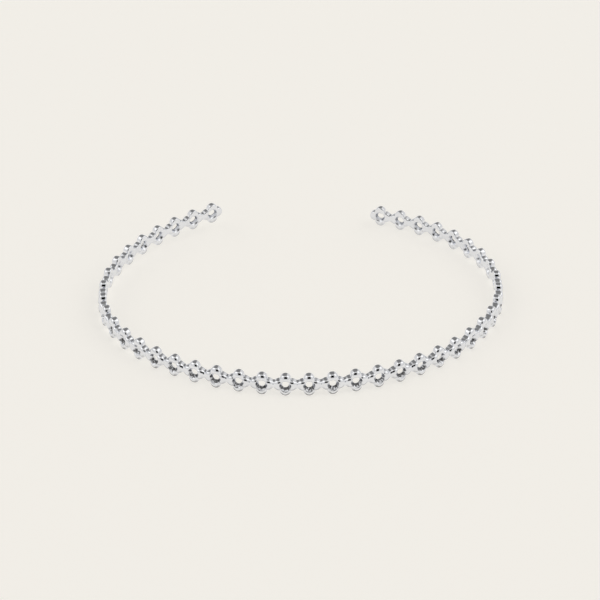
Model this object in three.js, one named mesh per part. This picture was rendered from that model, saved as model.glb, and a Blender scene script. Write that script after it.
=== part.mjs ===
// Open cuff bangle of polished silver, cast in one piece: a row of equal four-petal flowers,
// joined side petal to side petal and bent round an oval, with the wrist gap at the back.
// Millimetres, +Z up. The bangle lies on its side: the middle flower is at -Y, the gap at +Y.
import * as THREE from 'three';

// The oval line that the row is bent round by hand, where the petals rise from their plate.
// It is a little fuller than an ellipse, and one half is a little deeper than the other.
const OVAL_HALF_WIDTH = 29.39;
const OVAL_HALF_DEPTH = 23.88;
const OVAL_FULLNESS = 0.306;
const OVAL_SKEW = 0.64;
const OVAL_DIVISIONS = 4000;

// The row of flowers along that line. Its foot stands slightly nearer the wrist than its top.
const FLOWERS = 43;
const PITCH = 3.345;
const LEAN = 0.055;

// One flower, measured from its centre. Every petal is a shallow ball on the plate.
const UPRIGHT_REACH = 0.83;      // centre of the upper and lower petals
const UPRIGHT_RADIUS = 0.85;
const SIDE_REACH = 0.89;         // centre of the side petals
const SIDE_RADIUS = 0.82;
const SIDE_FULLNESS = 2.5;       // 2 for a ball, more for a flatter top with rounder shoulders
const NECK_HALF_HEIGHT = 0.51;   // where one flower is joined to the next
const PLATE = 0.7;               // thickness of the plate under the petals
const PETAL_TOP = 1.25;          // thickness at the top of a petal
const WALL_DRAFT = 0.2;          // how far the outer wall draws in towards the wrist
const HALF_HEIGHT = UPRIGHT_REACH + UPRIGHT_RADIUS;

// The round hole through each flower: a wide mouth on the wrist side that narrows to
// a ring, and a funnel from there up to the crest of the petals.
const MOUTH_RADIUS = 0.86;
const RING_RADIUS = 0.47;
const RING_RISE = 0.6;
const FUNNEL_SLOPE = 1.5;
const SHOULDERS = [0.42, 0.8];   // shares of the way from the crest to the outline

// One half of the row lifts gently off the surface towards its free end.
const LIFT = 1.62;
const LIFT_FROM = 17.6;

const ROW_HALF_LENGTH = (FLOWERS - 1) / 2 * PITCH;
const SEAM = PITCH / 2;
const degrees = THREE.MathUtils.degToRad;

// Rays of one flower: the neck's corner, the notch between two petals, a petal's flank and
// the end of its tip flat, mirrored into all four quarters, and one ray along each side petal.
const TIP = degrees(81);
const QUARTER = [Math.atan2(NECK_HALF_HEIGHT, SEAM), degrees(44), degrees(62), TIP];
const MIRRORED = QUARTER.map((angle) => Math.PI - angle).reverse();
const HALF_TURN = [0, ...QUARTER, ...MIRRORED];
const RAYS = [...HALF_TURN, ...HALF_TURN.map((angle) => angle + Math.PI)];
const [NECK] = QUARTER;

// The oval from the middle of the gap, round the front and back to the gap.
class BentOval extends THREE.Curve {
  getPoint(share, target = new THREE.Vector3()) {
    const turn = (2 * share - 1) * Math.PI;
    const c = Math.cos(turn);
    const s = Math.sin(turn);
    return target.set(
      OVAL_HALF_WIDTH * s - OVAL_FULLNESS * Math.sin(3 * turn),
      -OVAL_HALF_DEPTH * c + OVAL_SKEW * s * (1 - c) / 2,
      0,
    );
  }
}

const oval = new BentOval();
oval.arcLengthDivisions = OVAL_DIVISIONS;
const toFront = oval.getLengths()[OVAL_DIVISIONS / 2];

// The four petals as circles in the flower's own plane.
const PETALS = [
  { along: SIDE_REACH, up: 0, radius: SIDE_RADIUS, fullness: SIDE_FULLNESS },
  { along: -SIDE_REACH, up: 0, radius: SIDE_RADIUS, fullness: SIDE_FULLNESS },
  { along: 0, up: UPRIGHT_REACH, radius: UPRIGHT_RADIUS, fullness: 2 },
  { along: 0, up: -UPRIGHT_REACH, radius: UPRIGHT_RADIUS, fullness: 2 },
];

// Distance along a ray from the flower's centre to the far side of a petal's circle.
function petalReach(petal, angle) {
  const ahead = petal.along * Math.cos(angle) + petal.up * Math.sin(angle);
  const aside = petal.along * Math.sin(angle) - petal.up * Math.cos(angle);
  const spare = petal.radius ** 2 - aside ** 2;
  return spare > 0 ? ahead + Math.sqrt(spare) : 0;
}

// How far the flower reaches along a ray: to its petals, to the flat on a petal's tip, or to
// the seam plane where the flower is joined to its neighbour.
function reach(angle, joined) {
  if (joined) return SEAM / Math.abs(Math.cos(angle));
  const tip = Math.abs(Math.abs(Math.sin(angle)) - Math.sin(TIP)) < 1e-6;
  if (tip) return HALF_HEIGHT / Math.sin(TIP);
  return Math.max(...PETALS.map((petal) => petalReach(petal, angle)));
}

// Thickness of the petals over a point of the flower's plane.
function petalRise(along, up) {
  const share = (petal) => {
    const aside = Math.hypot(along - petal.along, up - petal.up) / petal.radius;
    return Math.max(0, 1 - aside ** petal.fullness) ** (1 / petal.fullness);
  };
  return PLATE + (PETAL_TOP - PLATE) * Math.max(...PETALS.map(share));
}

// Height of the funnel's wall at a distance from the flower's centre.
function funnelRise(radius) {
  return RING_RISE + (radius - RING_RADIUS) * FUNNEL_SLOPE;
}

// Where the funnel meets the petals along a ray, found by halving.
function crest(angle, far) {
  let [below, above] = [RING_RADIUS, far];
  for (let step = 0; step < 30; step += 1) {
    const radius = (below + above) / 2;
    const petals = petalRise(radius * Math.cos(angle), radius * Math.sin(angle));
    if (funnelRise(radius) < petals) below = radius;
    else above = radius;
  }
  return above;
}

// The section of a flower along one ray, as points { along, up, out }, from the hole's mouth on
// the wrist side, out through the hole, over the petal and down its outer wall.
function section(angle, joined) {
  const far = reach(angle, joined);
  const top = crest(angle, far);
  const c = Math.cos(angle);
  const s = Math.sin(angle);
  const at = (radius, out) => ({ along: radius * c, up: radius * s, out });
  const over = (radius) => at(radius, petalRise(radius * c, radius * s));
  const tip = Math.abs(s) > Math.sin(TIP) - 1e-6;
  let wallFoot = at(far - (tip ? 0 : WALL_DRAFT), 0);
  if (joined) wallFoot = { along: far * c, up: Math.sign(s) * Math.max(0, Math.abs(far * s) - WALL_DRAFT), out: 0 };
  return [
    at(MOUTH_RADIUS, 0),
    at(RING_RADIUS, RING_RISE),
    over(top),
    ...SHOULDERS.map((share) => over(top + (far - top) * share)),
    joined ? over(far) : at(far, PLATE),
    wallFoot,
  ];
}

// Puts a point of the straightened row onto the oval: along it, up across it and out from it.
function bend({ along, up, out }) {
  const share = (toFront + along) / oval.getLength();
  const line = oval.getPointAt(share);
  const run = oval.getTangentAt(share);
  const past = Math.max(0, -along - LIFT_FROM) / (ROW_HALF_LENGTH - LIFT_FROM);
  const offset = out - PLATE - LEAN * up;
  return [line.x + run.y * offset, line.y - run.x * offset, HALF_HEIGHT + up + LIFT * past ** 2];
}

// All flowers as one closed skin. Neighbours share the corners of the seam between them, and
// the walls on that seam are left out, so that the whole row is one solid.
function flowerBandGeometry() {
  const positions = [];
  const index = [];
  const known = new Map();
  const vertex = (point) => {
    const place = bend(point).map((value) => Math.round(value * 1e4) / 1e4);
    const key = place.join();
    if (!known.has(key)) {
      known.set(key, positions.length / 3);
      positions.push(...place);
    }
    return known.get(key);
  };
  for (let flower = 0; flower < FLOWERS; flower += 1) {
    const centre = flower * PITCH - ROW_HALF_LENGTH;
    const joined = RAYS.map((angle) => {
      const c = Math.cos(angle);
      const neighbour = c > 0 ? flower < FLOWERS - 1 : flower > 0;
      return neighbour && Math.abs(c) > Math.cos(NECK) - 1e-6;
    });
    const rings = RAYS.map((angle, ray) => section(angle, joined[ray]).map(
      ({ along, up, out }) => vertex({ along: centre + along, up, out }),
    ));
    rings.forEach((ring, ray) => {
      const nextRay = (ray + 1) % RAYS.length;
      const next = rings[nextRay];
      ring.forEach((corner, step) => {
        const onSeam = joined[ray] && joined[nextRay] && step === ring.length - 2;
        if (onSeam) return;
        const after = (step + 1) % ring.length;
        index.push(corner, ring[after], next[after], corner, next[after], next[step]);
      });
    });
  }
  const geometry = new THREE.BufferGeometry();
  geometry.setAttribute('position', new THREE.Float32BufferAttribute(positions, 3));
  geometry.setIndex(index);
  return geometry;
}

const silver = new THREE.MeshStandardMaterial({ color: 0xe7e7e8, roughness: 0.12, metalness: 1 });

// The origin is under the middle of the bangle, on the surface that it lies on.
const geometry = flowerBandGeometry();
geometry.computeBoundingBox();
const middle = geometry.boundingBox.getCenter(new THREE.Vector3());
geometry.translate(-middle.x, -middle.y, 0);

const flowerBand = new THREE.Mesh(geometry, silver);
flowerBand.name = 'flower_band';

const bangle = new THREE.Group();
bangle.add(flowerBand);

export default bangle;
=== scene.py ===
"""Open cuff bangle of polished silver flowers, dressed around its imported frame."""
import math

import bpy
import numpy as np
from bpy.props import FloatProperty, FloatVectorProperty, IntProperty, PointerProperty
from bpy.types import Operator, Panel, PropertyGroup
from mathutils import Matrix


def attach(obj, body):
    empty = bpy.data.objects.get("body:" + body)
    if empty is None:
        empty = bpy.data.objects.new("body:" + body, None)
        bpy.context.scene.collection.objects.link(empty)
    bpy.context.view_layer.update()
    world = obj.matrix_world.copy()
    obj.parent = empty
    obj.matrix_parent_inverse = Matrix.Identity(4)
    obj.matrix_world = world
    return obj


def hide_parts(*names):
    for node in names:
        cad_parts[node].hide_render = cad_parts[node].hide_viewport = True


bl_info = {
    "name": "Silver Flower Cuff Bangle",
    "version": (1, 0, 0),
    "blender": (4, 5, 0),
    "location": "View3D > Sidebar > Bangle",
    "description": "Makes an open cuff bangle of polished silver flowers and its studio",
    "category": "Add Mesh",
}

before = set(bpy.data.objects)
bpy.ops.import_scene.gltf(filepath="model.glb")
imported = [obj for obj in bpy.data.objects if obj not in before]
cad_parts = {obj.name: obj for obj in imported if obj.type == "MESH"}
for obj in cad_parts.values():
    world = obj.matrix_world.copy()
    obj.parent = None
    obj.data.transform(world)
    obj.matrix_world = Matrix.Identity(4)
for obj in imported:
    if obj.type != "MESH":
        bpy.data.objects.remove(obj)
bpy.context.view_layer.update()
MM = 0.001

# Rays of a quarter of a flower, by where they end on its outline.
RAYS_TO_NECK = 3
RAYS_TO_NOTCH = 5
RAYS_TO_TIP = 8

# Points of the section along a ray: the hole's mouth, the funnel, the petal, the outer wall
# with its rounded foot, and the flat back.
MOUTH_STEPS = 7
HOLE_STEPS = 5
PETAL_STEPS = 15
WALL_STEPS = 5
BACK_STEPS = 2

HALVINGS = 40                  # to find the outline along a ray
OVAL_SAMPLES = 20001           # to measure the oval's length
MERGE = 0.0005 * MM            # corners are merged on a grid of this step
SHARP = math.radians(50)       # edges over this angle are shaded as sharp
TINY = 1e-9

MOUTH_ROUNDING = 1.6           # exponent of the mouth's curve
FUNNEL_WIDTH = 0.30 * MM       # from the narrow ring to the first point of the petal
LEAST_PETAL = 0.30 * MM        # petal left outside that on the shortest rays
CROWDING = 0.65                # how far the petal's points crowd towards its outline

# The two masks that the silver reads. The recess round each hole is rougher, and on the hole's
# lower wall and down a tail on the lower petal it carries a painted dark reflection. The contact
# shade is a painted reflection of the shade under the bangle, on the lower flanks of the petals.
# Places round the hole are cosines and sines of the ray.
TAIL_PLACE = -0.08             # where the recess reaches down the lower petal
TAIL_WIDTH = 0.14
RECESS_START = 0.1             # the recess fades in from the hole's middle down
RECESS_SLOPE = 1.5
RECESS_UNDERCUT = 0.1 * MM     # it fades out over this depth below the ring
MOUTH_DULLNESS = 0.2           # share of the recess all round the mouth
CONTACT_SHADE_START = 0.46           # the painted contact shade lies between these shares of a petal's radius
CONTACT_SHADE_END = 0.98
CONTACT_SHADE_EDGE = 0.16
CONTACT_SHADE_SLOPE = 1.4            # it gathers below the petal's centre
CONTACT_SHADE_OFFSET = 0.1
SIDE_CONTACT_SHADE = 0.45            # its strength on the side petals
WALL_CONTACT_SHADE = 0.4             # least share that is left down the outer wall

# Noise in the silver, in repeats per metre.
CLOUDS = 220
HAIRLINES = 1500
GRAIN = 4200
RAGGEDNESS = 3.2               # how far the grain breaks up the recess
PITS = 0.3                     # height of the grain in the recess, where the clouds have 1

BOX_CORE = 0.7                 # share of a softbox that has its full brightness
SHADE_EDGE = 0.12              # softness of the arch's and the hood's sides, as a sine
SHADE_EASE = math.radians(4)   # softness of their ends
FLOOR_HALF = 1.5
FLOOR_ROUGHNESS = 0.9
SENSOR = 36


def length(name, description, default):
    """A size in millimetres, kept in metres."""
    return FloatProperty(
        name=name, description=description, default=default * MM, unit="LENGTH", precision=5)


def number(name, description, default):
    """A plain number."""
    return FloatProperty(name=name, description=description, default=default)


def share(name, description, default):
    """A part of a whole, from 0 to 1."""
    return FloatProperty(
        name=name, description=description, default=default, min=0, max=1, subtype="FACTOR")


def angle(name, description, degrees):
    """An angle given in degrees, kept in radians."""
    return FloatProperty(
        name=name, description=description, default=math.radians(degrees), subtype="ANGLE")


def shade(name, description, default):
    """A linear colour."""
    return FloatVectorProperty(
        name=name, description=description, default=default, min=0, max=1, subtype="COLOR")


class BangleShape(PropertyGroup):
    """Sizes of the row of flowers and of the oval that it is bent round."""

    half_width: length("Half width", "Half of the oval line across the wrist", 29.39)
    half_depth: length("Half depth", "Half of the oval line from front to back", 23.88)
    squeeze: length("Squeeze", "Pulls the oval's corners in and pushes its sides out", 0.306)
    skew: length("Skew", "Sets the oval's right side back and its left side forward", 0.64)
    flowers: IntProperty(name="Flowers", description="Flowers in the row", default=43, min=3)
    pitch: length("Pitch", "From one flower's centre to the next", 3.345)
    upright_reach: length("Upright reach", "Centre of the upper and lower petals", 0.83)
    upright_radius: length("Upright radius", "Radius of the upper and lower petals", 0.85)
    side_reach: length("Side reach", "Centre of the side petals", 0.89)
    side_radius: length("Side radius", "Radius of the side petals", 0.82)
    side_fullness: number("Side fullness", "Fullness of the side petals, 2 for a ball", 2.5)
    neck_fillet: length("Neck fillet", "How softly two side petals flow together", 0.45)
    notch_fillet: length("Notch fillet", "How softly two petals of a flower meet", 0.08)
    plate: length("Plate", "Thickness under the petals", 0.70)
    petal_top: length("Petal top", "Greatest thickness, at the top of a petal", 1.235)
    valley: length("Valley", "Softness of the valley between two petals", 0.03)
    mouth_radius: length("Mouth radius", "Radius of the hole at the wrist side", 0.86)
    ring_radius: length("Ring radius", "Radius of the hole where it is narrowest", 0.47)
    ring_rise: length("Ring rise", "Height of that narrow ring over the wrist side", 0.60)
    hole_draft: number("Hole draft", "Rise of the hole's wall per step outward", 1.5)
    rim_soft: length("Rim softness", "Rounding where the hole meets the petals", 0.08)
    # The recess is rougher, and its lower wall and tail carry a painted dark reflection.
    recess_reach: length("Recess reach", "How far past the ring the unpolished recess ends", 0.38)
    recess_crease: length("Recess crease", "How much further it reaches between two petals", 0.10)
    recess_fade: length("Recess fade", "Width over which it ends", 0.28)
    recess_tail: length("Recess tail", "How much further it reaches down the lower petal", 0.15)
    edge_reach: length("Edge reach", "How far the wrist side rounds in from its edge", 0.20)
    edge_rise: length("Edge rise", "How high that rounding climbs the wall", 0.26)
    lean: number("Lean", "How far the row leans in per unit of height", 0.055)
    lift: length("Lift", "How far one free end lifts off the surface", 1.62)
    lift_from: length("Lift from", "Where along the row that lift begins", 17.6)


class SilverFinishAndShade(PropertyGroup):
    """Colour and polish of the silver, and the colours of the shade painted into it."""

    colour: shade("Colour", "Polished silver", (0.860, 0.878, 0.927))
    roughness: share("Roughness", "Micro roughness of the polish", 0.05)
    # Painted shade: the dark reflection in the lower wall of each hole is painted with this colour.
    rough_shaded_recess: shade("Shaded recess", "Duller silver in the recess round each hole", (0.155, 0.155, 0.158))
    # Painted shade: the dark reflection of the shade under the bangle, painted on the lower petals.
    painted_contact_shade: shade("Painted contact shade", "Silver where the hand polish doesn't reach", (0.29, 0.29, 0.295))
    recess_roughness: share("Recess roughness", "Roughness added in the recess", 0.32)
    dents: share("Dents", "Strength of the small unevenness of the hand polish", 0.5)
    dent_depth: length("Dent depth", "Depth of that unevenness", 0.02)


class StudioLook(PropertyGroup):
    """Floor, lights and camera."""

    floor: shade("Floor", "Pale floor", (0.849, 0.827, 0.783))
    floor_shade: share("Floor shade", "Share of that colour in the light that it reflects", 0.61)
    floor_glow: share("Floor glow", "How far the floor is lit from below", 0.65)
    light: shade("Light", "Colour of the tent and the softboxes", (1, 0.985, 0.95))
    tent: number("Tent", "Brightness of the tent", 0.76)
    box_power: number("Softboxes", "Extra brightness of the softboxes", 0.5)
    box_size: angle("Softbox size", "Half angle that a softbox fills", 24)
    box_height: angle("Softbox height", "Elevation of the softboxes", 48)
    box_side: angle("Softbox side", "Angle of each softbox from the front", 85)
    arch_dark: share("Arch", "Darkness of the dark arch from overhead to behind the bangle", 0.70)
    arch_start: angle("Arch start", "Where the arch starts, up and over from the front", 84)
    arch_end: angle("Arch end", "Where the arch ends, up and over from the front", 163)
    arch_width: number("Arch width", "Half width of the arch as a sine", 0.45)
    arch_shift: number("Arch shift", "How far it stands to the right, as a sine", -0.08)
    hood_dark: share("Hood", "Darkness of the hood round the camera", 1.0)
    hood_start: angle("Hood start", "Lower edge of the hood", 12)
    hood_end: angle("Hood end", "Upper edge of the hood", 54)
    hood_width: number("Hood width", "Half width of the hood as a sine", 0.40)
    target: FloatVectorProperty(
        name="Target", description="Point that the camera looks at",
        default=(-0.286 * MM, -1.142 * MM, 1.68 * MM), subtype="TRANSLATION")
    azimuth: angle("Azimuth", "Camera's angle from the front, positive to the right", -2.51)
    elevation: angle("Elevation", "Camera's angle over the floor", 33.43)
    roll: angle("Roll", "Camera's turn about its own view", -0.315)
    distance: length("Distance", "From the target to the camera", 326.3)
    lens: FloatProperty(
        name="Lens", description="Focal length in millimetres", default=132.0, unit="CAMERA")


def soft_min(a, b, k):
    """Smaller of a and b, blended over a width of k: lerp(b, a, h) - k h (1 - h)."""
    h = np.clip(0.5 + 0.5 * (b - a) / k, 0, 1)
    return b + (a - b) * h - k * h * (1 - h)


def soft_max(a, b, k):
    """Larger of a and b, blended over a width of k."""
    return -soft_min(-a, -b, k)


def outline_distance(along, up, p, joins):
    """Distance outside a flower's outline: the soft union of its petals' circles and of the
    side petal of each neighbour that it is joined to."""
    upper = np.hypot(along, up - p.upright_reach)
    lower = np.hypot(along, up + p.upright_reach)
    outside = soft_min(upper, lower, p.notch_fillet) - p.upright_radius
    for side, joined in zip((-1, 1), joins):
        petal = np.hypot(along - side * p.side_reach, up) - p.side_radius
        outside = soft_min(outside, petal, p.notch_fillet)
        if joined:
            neighbour = np.hypot(along - side * (p.pitch - p.side_reach), up) - p.side_radius
            outside = soft_min(outside, neighbour, p.neck_fillet)
    return outside


def ray_angles(neck):
    """Angles of the rays of one flower: even steps to the neck's corner, to the notch at 45
    degrees and to the petal's tip, mirrored into all four quarters."""
    quarter = np.concatenate([
        np.linspace(0, neck, RAYS_TO_NECK, endpoint=False),
        np.linspace(neck, math.pi / 4, RAYS_TO_NOTCH, endpoint=False),
        np.linspace(math.pi / 4, math.pi / 2, RAYS_TO_TIP, endpoint=False)])
    half = np.concatenate([quarter, [math.pi / 2], math.pi - quarter[:0:-1]])
    return np.concatenate([half, half + math.pi])


def outline_radius(ray, p, joins, neck):
    """How far the flower reaches along each ray, by halving the span in which its outline
    lies. On a side that is joined, the rays up to the neck's corner end on the seam plane."""
    c, s = np.cos(ray), np.sin(ray)
    joined = np.where(c > 0, joins[1], joins[0])
    on_seam = (np.abs(c) > math.cos(neck) - TINY) & joined
    seam = p.pitch / 2 / np.maximum(np.abs(c), TINY)
    near = np.full_like(ray, p.ring_radius)
    far = np.full_like(ray, p.upright_reach + 1.5 * p.upright_radius)
    far = np.where(joined, np.minimum(far, seam), far)
    for _ in range(HALVINGS):
        middle = (near + far) / 2
        inside = outline_distance(middle * c, middle * s, p, joins) < 0
        near = np.where(inside, middle, near)
        far = np.where(inside, far, middle)
    return np.where(on_seam, seam, near), on_seam


def ball_rise(rho, p, radius, fullness):
    """Thickness rho away from a petal's centre:
    plate + (top - plate) (1 - (rho / radius)^f)^(1/f), carried on below the plate."""
    q = 1 - (rho / radius) ** fullness
    return p.plate + (p.petal_top - p.plate) * np.sign(q) * np.abs(q) ** (1 / fullness)


def petal_rise(along, up, p, joins):
    """Thickness over a point of the flower: the highest petal wins with a soft valley. A side
    petal flows into its neighbour's across the seam, by the softly smaller distance to the two.
    The funnel's wall, ring rise + draft (r - ring radius), cuts all of them."""
    rise = soft_max(
        ball_rise(np.hypot(along, up - p.upright_reach), p, p.upright_radius, 2),
        ball_rise(np.hypot(along, up + p.upright_reach), p, p.upright_radius, 2), p.valley)
    for side, joined in zip((-1, 1), joins):
        rho = np.hypot(along - side * p.side_reach, up)
        if joined:
            neighbour = np.hypot(along - side * (p.pitch - p.side_reach), up)
            rho = soft_min(rho, neighbour, p.neck_fillet)
        rise = soft_max(rise, ball_rise(rho, p, p.side_radius, p.side_fullness), p.valley)
    rise = np.maximum(rise, p.plate)
    wall = p.ring_rise + (np.hypot(along, up) - p.ring_radius) * p.hole_draft
    return soft_min(rise, wall, p.rim_soft)


def mouth_curve(p):
    """Radius and rise of the hole's mouth, from the wrist side in to the ring:
    mouth + (ring - mouth) sin^e and ring rise (1 - cos^e)."""
    turn = np.linspace(0, math.pi / 2, MOUTH_STEPS)[:-1]
    radius = p.ring_radius + (p.mouth_radius - p.ring_radius) * (1 - np.sin(turn) ** MOUTH_ROUNDING)
    return radius, p.ring_rise * (1 - np.cos(turn) ** MOUTH_ROUNDING)


def top_radii(p, reach):
    """Distances of the top's points from the flower's centre: even steps up the funnel, then
    steps over the petal that crowd towards the outline as a sine."""
    rim = np.minimum(p.ring_radius + FUNNEL_WIDTH, reach - LEAST_PETAL)
    funnel = p.ring_radius + (rim - p.ring_radius) * np.linspace(0, 1, HOLE_STEPS)[:-1]
    over = np.linspace(0, 1, PETAL_STEPS)
    over = (1 - CROWDING) * over + CROWDING * np.sin(over * math.pi / 2)
    return np.concatenate([funnel, rim + (reach - rim) * over], 1)


def outer_wall(p, reach, c, s, seam, neck_height):
    """The outer wall as (along, up, out), a quarter ellipse that draws in by the edge's reach
    as it falls by its rise. On a seam it stays in the seam's plane and only loses height."""
    fold = np.linspace(0, math.pi / 2, WALL_STEPS)
    inward = p.edge_reach * (1 - np.cos(fold))
    radius = reach - np.where(seam, 0, inward)
    up = np.where(seam, radius * s * (1 - inward / neck_height), radius * s)
    return radius * c, up, p.edge_rise * (1 - np.sin(fold)) + 0 * reach


def recess_roughness_and_shade(along, up, out, c, s, p):
    """Share of the recess, which is rougher and carries a painted dark reflection: 1 on the lower
    wall of the hole, fading to 0 at its reach. It reaches further between two petals, by the
    crease times (2 c s)^2, and in a bell-shaped tail down the lower petal, where it stands for the
    reflected shade under the petal."""
    tail = p.recess_tail * np.exp(-((c - TAIL_PLACE) / TAIL_WIDTH) ** 2)
    far = p.ring_radius + p.recess_reach + p.recess_crease * (2 * c * s) ** 2 + tail
    within = np.clip((far - np.hypot(along, up)) / p.recess_fade, 0, 1)
    low = np.clip(RECESS_START - RECESS_SLOPE * s, 0, 1)
    above = np.clip((out - p.ring_rise) / RECESS_UNDERCUT + 1, 0, 1)
    rough_shaded_recess = within * low * above
    rough_shaded_recess[:, :MOUTH_STEPS - 2] = MOUTH_DULLNESS
    return rough_shaded_recess


def low_contact_shade(along, up, out, p):
    """Share of the painted contact shade, a painted dark reflection of the shade under the bangle,
    on the lower flank of the side and lower petals: a smooth band between two shares of the petal's
    radius, strongest straight below the petal's centre. Each point takes the share of the petal
    that it is nearest to, less down the outer wall."""
    nearness, shares = [], []
    for x, z, radius, strength in (
            (-p.side_reach, 0, p.side_radius, SIDE_CONTACT_SHADE),
            (p.side_reach, 0, p.side_radius, SIDE_CONTACT_SHADE),
            (0, -p.upright_reach, p.upright_radius, 1)):
        rho = np.hypot(along - x, up - z) / radius
        below = np.clip(CONTACT_SHADE_SLOPE * (z - up) / (rho * radius + TINY) - CONTACT_SHADE_OFFSET, 0, 1)
        inner = np.clip((rho - CONTACT_SHADE_START) / CONTACT_SHADE_EDGE, 0, 1)
        outer = np.clip((CONTACT_SHADE_END - rho) / CONTACT_SHADE_EDGE, 0, 1)
        band = inner * outer
        nearness.append(rho)
        shares.append(strength * below * band ** 2 * (3 - 2 * band))
    nearest = np.argmin(nearness, 0)[None]
    painted_contact_shade = np.take_along_axis(np.array(shares), nearest, 0)[0]
    return painted_contact_shade * np.clip(out / p.plate, WALL_CONTACT_SHADE, 1)


def flower(p, joins):
    """One flower as rays by section points, each (along, up, out) from its centre: the mouth
    of its hole, the funnel, the petal, the outer wall, its rounded foot and the back. With it
    come the shares of the recess, with its painted dark reflection, and of the painted contact
    shade at each point, and which rays end on a seam."""
    neck_height = math.sqrt(
        (p.side_radius + p.neck_fillet / 4) ** 2 - (p.pitch / 2 - p.side_reach) ** 2)
    neck = math.atan2(neck_height, p.pitch / 2)
    ray = ray_angles(neck)
    reach, on_seam = outline_radius(ray, p, joins, neck)
    c, s, reach, seam = (row[:, None] for row in (np.cos(ray), np.sin(ray), reach, on_seam))
    mouth, mouth_out = mouth_curve(p)
    top = top_radii(p, reach)
    top_out = petal_rise(top * c, top * s, p, joins)
    top_out[:, -1:] = np.where(seam, top_out[:, -1:], p.plate)
    wall_along, wall_up, wall_out = outer_wall(p, reach, c, s, seam, neck_height)
    foot = 1 - np.arange(1, BACK_STEPS + 1) / (BACK_STEPS + 1)
    back_along = wall_along[:, -1:] * foot + p.mouth_radius * c * (1 - foot)
    back_up = wall_up[:, -1:] * foot + p.mouth_radius * s * (1 - foot)
    along = np.concatenate([mouth * c, top * c, wall_along, back_along], 1)
    up = np.concatenate([mouth * s, top * s, wall_up, back_up], 1)
    out = np.concatenate([mouth_out + 0 * reach, top_out, wall_out, 0 * back_along], 1)
    rough_shaded_recess = recess_roughness_and_shade(along, up, out, c, s, p)
    return along, up, out, rough_shaded_recess, low_contact_shade(along, up, out, p), on_seam


def bend(along, up, out, p):
    """Carries the straight row round a bent oval by its arc length: x = a sin t - c sin 3t,
    y = -b cos t + k sin t (1 - cos t) / 2. A point stands off that line by its thickness over
    the plate, less the lean times its height. One end rises by the square of its distance past
    the place where the lift begins."""
    t = np.linspace(-math.pi, math.pi, OVAL_SAMPLES)
    x = p.half_width * np.sin(t) - p.squeeze * np.sin(3 * t)
    y = -p.half_depth * np.cos(t) + p.skew * np.sin(t) * (1 - np.cos(t)) / 2
    run = np.concatenate([[0], np.cumsum(np.hypot(np.diff(x), np.diff(y)))])
    run -= np.interp(0, t, run)
    turn = np.interp(along, run, t)
    c, s = np.cos(turn), np.sin(turn)
    step_x = p.half_width * c - 3 * p.squeeze * np.cos(3 * turn)
    step_y = p.half_depth * s + p.skew * (c - c * c + s * s) / 2
    step = np.hypot(step_x, step_y)
    offset = out - p.plate - p.lean * up
    half_row = (p.flowers - 1) / 2 * p.pitch
    past = np.maximum(0, -along - p.lift_from) / (half_row - p.lift_from)
    return np.stack([
        p.half_width * s - p.squeeze * np.sin(3 * turn) + step_y / step * offset,
        -p.half_depth * c + p.skew * s * (1 - c) / 2 - step_x / step * offset,
        up + p.lift * past ** 2], -1)


def band_mesh(p):
    """All flowers as one closed skin: its corners, its quads, and each corner's shares of the
    recess and of the painted contact shade. Neighbours share the corners of their seam, and the
    walls on a seam are left out."""
    points, masks, quads = [], [], []
    count = 0
    first_wall = MOUTH_STEPS + HOLE_STEPS + PETAL_STEPS - 3
    for k in range(p.flowers):
        along, up, out, rough_shaded_recess, painted_contact_shade, on_seam = flower(p, (k > 0, k < p.flowers - 1))
        centre = (k - (p.flowers - 1) / 2) * p.pitch
        points.append(bend(along + centre, up, out, p).reshape(-1, 3))
        masks.append(np.stack([rough_shaded_recess.reshape(-1), painted_contact_shade.reshape(-1)], -1))
        corner = count + np.arange(along.size).reshape(along.shape)
        after = np.roll(corner, -1, 1)
        quad = np.stack([corner, after, np.roll(after, -1, 0), np.roll(corner, -1, 0)], -1)
        keep = np.ones(along.shape, bool)
        keep[on_seam & np.roll(on_seam, -1), first_wall:first_wall + WALL_STEPS] = False
        quads.append(quad[keep])
        count += along.size
    points, masks, quads = np.concatenate(points), np.concatenate(masks), np.concatenate(quads)
    grid = np.round(points / MERGE).astype(np.int64)
    _, first, same = np.unique(grid, axis=0, return_index=True, return_inverse=True)
    used, quads = np.unique(same.reshape(-1)[quads], return_inverse=True)
    return points[first][used], quads.reshape(-1, 4), masks[first][used]


def mesh_object(name, points, quads):
    """A smooth object at the origin from corners and quads."""
    mesh = bpy.data.meshes.new(name)
    mesh.from_pydata(points.tolist(), [], quads.tolist())
    mesh.polygons.foreach_set("use_smooth", [True] * len(mesh.polygons))
    mesh.set_sharp_from_angle(angle=SHARP)
    mesh.update()
    piece = bpy.data.objects.new(name, mesh)
    bpy.context.scene.collection.objects.link(piece)
    return piece


def feed(tree, socket, value):
    """Sets a socket to a number, or links it to another node's socket."""
    if isinstance(value, (int, float)):
        socket.default_value = value
    else:
        tree.links.new(value, socket)


def math_node(tree, operation, *values):
    """A Math node on values that are numbers or sockets."""
    node = tree.nodes.new("ShaderNodeMath")
    node.operation = operation
    for socket, value in zip(node.inputs, values):
        feed(tree, socket, value)
    return node.outputs[0]


def ease(tree, value, start, end, low=0.0, high=1.0):
    """Goes smoothly from low to high as the value goes from start to end."""
    node = tree.nodes.new("ShaderNodeMapRange")
    node.interpolation_type = "SMOOTHSTEP"
    tree.links.new(value, node.inputs["Value"])
    limits = (("From Min", start), ("From Max", end), ("To Min", low), ("To Max", high))
    for label, limit in limits:
        node.inputs[label].default_value = limit
    return node.outputs["Result"]


def mix_colour(tree, factor, a, b, blend="MIX"):
    """Blends two colours by a factor that is a number or a socket."""
    node = tree.nodes.new("ShaderNodeMix")
    node.data_type = "RGBA"
    node.blend_type = blend
    feed(tree, node.inputs["Factor"], factor)
    tree.links.new(a, node.inputs["A"])
    tree.links.new(b, node.inputs["B"])
    return node.outputs["Result"]


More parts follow.
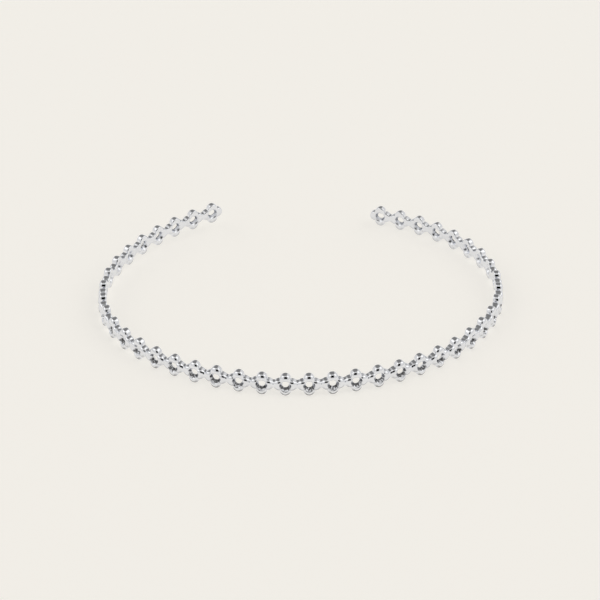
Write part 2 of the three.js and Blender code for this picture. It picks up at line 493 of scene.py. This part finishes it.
def noise(tree, scale, detail, stretch=(1, 1, 1)):
    """Noise on Object coordinates, in repeats per metre."""
    place = tree.nodes.new("ShaderNodeTexCoord")
    mapping = tree.nodes.new("ShaderNodeMapping")
    mapping.inputs["Scale"].default_value = stretch
    tree.links.new(place.outputs["Object"], mapping.inputs["Vector"])
    node = tree.nodes.new("ShaderNodeTexNoise")
    node.inputs["Scale"].default_value = scale
    node.inputs["Detail"].default_value = detail
    tree.links.new(mapping.outputs["Vector"], node.inputs["Vector"])
    return node.outputs["Fac"]


def surface_mask(tree, name):
    """A mask that the piece carries on its corners."""
    node = tree.nodes.new("ShaderNodeAttribute")
    node.attribute_name = name
    return node.outputs["Fac"]


def worn_and_shaded_silver_group():
    """Hand-polished silver: fine hairlines and soft clouds in the polish and small dents, with
    painted
    shade: a painted dark reflection low on each petal, and a ragged recess round each hole, rougher
    where no wheel reaches and with a painted dark reflection on its lower wall."""
    group = bpy.data.node_groups.new("worn_and_shaded_silver", "ShaderNodeTree")
    for way, kind, labels in (
            ("INPUT", "NodeSocketColor", ("Polished", "Shaded recess", "Painted contact shade")),
            ("INPUT", "NodeSocketFloat", ("Polish", "Recess roughness")),
            ("OUTPUT", "NodeSocketColor", ("Color",)),
            ("OUTPUT", "NodeSocketFloat", ("Roughness", "Height"))):
        for label in labels:
            group.interface.new_socket(label, in_out=way, socket_type=kind)
    given = group.nodes.new("NodeGroupInput").outputs
    result = group.nodes.new("NodeGroupOutput").inputs

    clouds = noise(group, CLOUDS, 3)
    hairlines = noise(group, HAIRLINES, 2, (1, 1, 9))
    grain = noise(group, GRAIN, 2)
    rough_shaded_recess = surface_mask(group, "rough_shaded_recess")
    jagged = math_node(group, "MULTIPLY", math_node(group, "SUBTRACT", grain, 0.5), RAGGEDNESS)
    ragged = ease(group, math_node(group, "ADD", rough_shaded_recess, jagged), 0.62, 0.92)
    hollow = math_node(group, "MULTIPLY", ragged, ease(group, rough_shaded_recess, 0.2, 0.4))
    speckled = ease(group, grain, 0.3, 0.6, 0.7, 1.0)
    contact_shade = math_node(group, "MULTIPLY", surface_mask(group, "painted_contact_shade"), speckled)

    # Painted shade: the contact shade darkens the lower flanks of the petals.
    colour = mix_colour(group, contact_shade, given["Polished"], given["Painted contact shade"])
    # Painted shade: the recess is mixed towards its dark colour.
    colour = mix_colour(group, hollow, colour, given["Shaded recess"])
    tone = ease(group, clouds, 0.3, 0.7, 0.95, 1.0)
    cloudy = group.nodes.new("ShaderNodeCombineColor")
    for label in ("Red", "Green", "Blue"):
        group.links.new(tone, cloudy.inputs[label])
    colour = mix_colour(group, 1, colour, cloudy.outputs["Color"], "MULTIPLY")
    group.links.new(colour, result["Color"])

    streaks = ease(group, hairlines, 0.35, 0.7, 0.6, 1.7)
    polish = math_node(group, "MULTIPLY", given["Polish"], streaks)
    unpolished = ease(group, rough_shaded_recess, 0.05, 0.3)
    unpolished = math_node(group, "MULTIPLY", unpolished, given["Recess roughness"])
    group.links.new(math_node(group, "ADD", polish, unpolished), result["Roughness"])

    pits = math_node(group, "MULTIPLY", math_node(group, "MULTIPLY", grain, hollow), PITS)
    group.links.new(math_node(group, "ADD", clouds, pits), result["Height"])
    return group


def silver_material(silver_and_shade):
    """Polished silver with its worn finish and its painted shade."""
    material = bpy.data.materials.new("polished_silver")
    material.use_nodes = True
    nodes, links = material.node_tree.nodes, material.node_tree.links
    shader = nodes["Principled BSDF"]
    shader.inputs["Metallic"].default_value = 1
    worn_and_shaded = nodes.new("ShaderNodeGroup")
    worn_and_shaded.node_tree = worn_and_shaded_silver_group()
    worn_and_shaded.inputs["Polished"].default_value = (*silver_and_shade.colour, 1)
    # Painted shade: the colours of the recess's dark reflection and of the contact shade.
    worn_and_shaded.inputs["Shaded recess"].default_value = (*silver_and_shade.rough_shaded_recess, 1)
    worn_and_shaded.inputs["Painted contact shade"].default_value = (*silver_and_shade.painted_contact_shade, 1)
    worn_and_shaded.inputs["Polish"].default_value = silver_and_shade.roughness
    worn_and_shaded.inputs["Recess roughness"].default_value = silver_and_shade.recess_roughness
    bump = nodes.new("ShaderNodeBump")
    bump.inputs["Strength"].default_value = silver_and_shade.dents
    bump.inputs["Distance"].default_value = silver_and_shade.dent_depth
    links.new(worn_and_shaded.outputs["Height"], bump.inputs["Height"])
    links.new(worn_and_shaded.outputs["Color"], shader.inputs["Base Color"])
    links.new(worn_and_shaded.outputs["Roughness"], shader.inputs["Roughness"])
    links.new(bump.outputs["Normal"], shader.inputs["Normal"])
    return material


def aim(azimuth, elevation):
    """Unit direction from the bangle. Azimuth 0 is its front, and a positive one is to the
    right."""
    flat = math.cos(elevation)
    return math.sin(azimuth) * flat, -math.cos(azimuth) * flat, math.sin(elevation)


def softbox(tree, direction, look, azimuth):
    """1 within the core of a round softbox, 0 past its edge."""
    node = tree.nodes.new("ShaderNodeVectorMath")
    node.operation = "DOT_PRODUCT"
    tree.links.new(direction, node.inputs[0])
    node.inputs[1].default_value = aim(azimuth, look.box_height)
    edge, core = math.cos(look.box_size), math.cos(look.box_size * BOX_CORE)
    return ease(tree, node.outputs["Value"], edge, core)


def studio_world(look):
    """Soft studio round the bangle: a bright tent, a brighter softbox on either side, a dark
    hood round the camera and a dark arch from overhead to behind the bangle."""
    world = bpy.data.worlds.new("studio")
    world.use_nodes = True
    tree = world.node_tree
    background = tree.nodes["Background"]
    background.inputs["Color"].default_value = (*look.light, 1)
    direction = tree.nodes.new("ShaderNodeTexCoord").outputs["Generated"]
    split = tree.nodes.new("ShaderNodeSeparateXYZ")
    tree.links.new(direction, split.inputs["Vector"])
    front = math_node(tree, "MULTIPLY", split.outputs["Y"], -1.0)
    tilt = math_node(tree, "ARCTAN2", split.outputs["Z"], front)
    glow = look.tent
    for azimuth in (-look.box_side, look.box_side):
        box = softbox(tree, direction, look, azimuth)
        glow = math_node(tree, "ADD", glow, math_node(tree, "MULTIPLY", box, look.box_power))
    for shift, width, start, end, dark in (
            (look.arch_shift, look.arch_width, look.arch_start, look.arch_end, look.arch_dark),
            (0.0, look.hood_width, look.hood_start, look.hood_end, look.hood_dark)):
        aside = math_node(tree, "ABSOLUTE", math_node(tree, "SUBTRACT", split.outputs["X"], shift))
        across = ease(tree, aside, width + SHADE_EDGE, width - SHADE_EDGE)
        past_start = ease(tree, tilt, start - SHADE_EASE, start + SHADE_EASE)
        before_end = ease(tree, tilt, end + SHADE_EASE, end - SHADE_EASE)
        between = math_node(tree, "MULTIPLY", past_start, before_end)
        shadow = math_node(tree, "MULTIPLY", math_node(tree, "MULTIPLY", across, between), dark)
        glow = math_node(tree, "MULTIPLY", glow, math_node(tree, "SUBTRACT", 1.0, shadow))
    tree.links.new(glow, background.inputs["Strength"])
    return world


def pale_floor(look):
    """A plain pale floor that also glows, as a light table does."""
    mesh = bpy.data.meshes.new("pale_floor")
    sides = ((-1, -1), (1, -1), (1, 1), (-1, 1))
    mesh.from_pydata([(x * FLOOR_HALF, y * FLOOR_HALF, 0) for x, y in sides], [], [(0, 1, 2, 3)])
    floor = bpy.data.objects.new("pale_floor", mesh)
    bpy.context.scene.collection.objects.link(floor)
    material = bpy.data.materials.new("pale_floor")
    material.use_nodes = True
    shader = material.node_tree.nodes["Principled BSDF"]
    reflected = [look.floor_shade * part for part in look.floor]
    shader.inputs["Base Color"].default_value = (*reflected, 1)
    shader.inputs["Emission Color"].default_value = (*look.floor, 1)
    shader.inputs["Emission Strength"].default_value = look.floor_glow
    shader.inputs["Roughness"].default_value = FLOOR_ROUGHNESS
    mesh.materials.append(material)
    return floor


def studio_camera(look):
    """A camera at its distance from the target, looking at it, rolled about its own view."""
    camera = bpy.data.cameras.new("camera")
    camera.lens = look.lens
    camera.sensor_width = SENSOR
    holder = bpy.data.objects.new("camera", camera)
    bpy.context.scene.collection.objects.link(holder)
    back = np.array(aim(look.azimuth, look.elevation))
    level = np.array([math.cos(look.azimuth), math.sin(look.azimuth), 0])
    over = np.cross(back, level)
    turn = np.eye(4)
    turn[:3, 0] = math.cos(look.roll) * level + math.sin(look.roll) * over
    turn[:3, 1] = -math.sin(look.roll) * level + math.cos(look.roll) * over
    turn[:3, 2] = back
    turn[:3, 3] = np.array(look.target) + back * look.distance
    holder.matrix_world = Matrix(turn.tolist())
    return holder


class BANGLE_OT_flower_band(Operator):
    """Makes the row of flowers in place of the faceted one"""

    bl_idname = "bangle.flower_band"
    bl_label = "Flower band"

    def execute(self, context):
        points, quads, masks = band_mesh(context.scene.bangle_shape)
        low, high = points.min(0), points.max(0)
        points -= [(low[0] + high[0]) / 2, (low[1] + high[1]) / 2, low[2]]
        piece = mesh_object("polished_flower_band", points, quads)
        for label, mask in zip(("rough_shaded_recess", "painted_contact_shade"), masks.T):
            layer = piece.data.attributes.new(label, "FLOAT", "POINT")
            layer.data.foreach_set("value", np.ascontiguousarray(mask, dtype=np.float32))
        piece.data.materials.append(silver_material(context.scene.bangle_silver))
        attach(piece, "root")
        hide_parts("flower_band")
        return {"FINISHED"}


class BANGLE_OT_studio(Operator):
    """Makes the pale floor, the soft lights and the camera"""

    bl_idname = "bangle.studio"
    bl_label = "Studio"

    def execute(self, context):
        look = context.scene.bangle_studio
        pale_floor(look)
        context.scene.world = studio_world(look)
        context.scene.view_settings.view_transform = "Standard"
        context.scene.camera = studio_camera(look)
        return {"FINISHED"}


class BANGLE_PT_panel(Panel):
    """Lists the bangle's pieces"""

    bl_label = "Bangle"
    bl_space_type = "VIEW_3D"
    bl_region_type = "UI"
    bl_category = "Bangle"

    def draw(self, context):
        for step in (BANGLE_OT_flower_band, BANGLE_OT_studio):
            self.layout.operator(step.bl_idname)


CLASSES = (
    BangleShape, SilverFinishAndShade, StudioLook,
    BANGLE_OT_flower_band, BANGLE_OT_studio, BANGLE_PT_panel)


def register():
    """Adds the classes and the scene's settings."""
    for cls in CLASSES:
        bpy.utils.register_class(cls)
    bpy.types.Scene.bangle_shape = PointerProperty(type=BangleShape)
    bpy.types.Scene.bangle_silver = PointerProperty(type=SilverFinishAndShade)
    bpy.types.Scene.bangle_studio = PointerProperty(type=StudioLook)


def unregister():
    """Takes the settings and the classes away again."""
    del bpy.types.Scene.bangle_studio
    del bpy.types.Scene.bangle_silver
    del bpy.types.Scene.bangle_shape
    for cls in reversed(CLASSES):
        bpy.utils.unregister_class(cls)


def main():
    register()
    bpy.ops.bangle.flower_band()
    bpy.ops.bangle.studio()


if __name__ == "__main__":
    main()
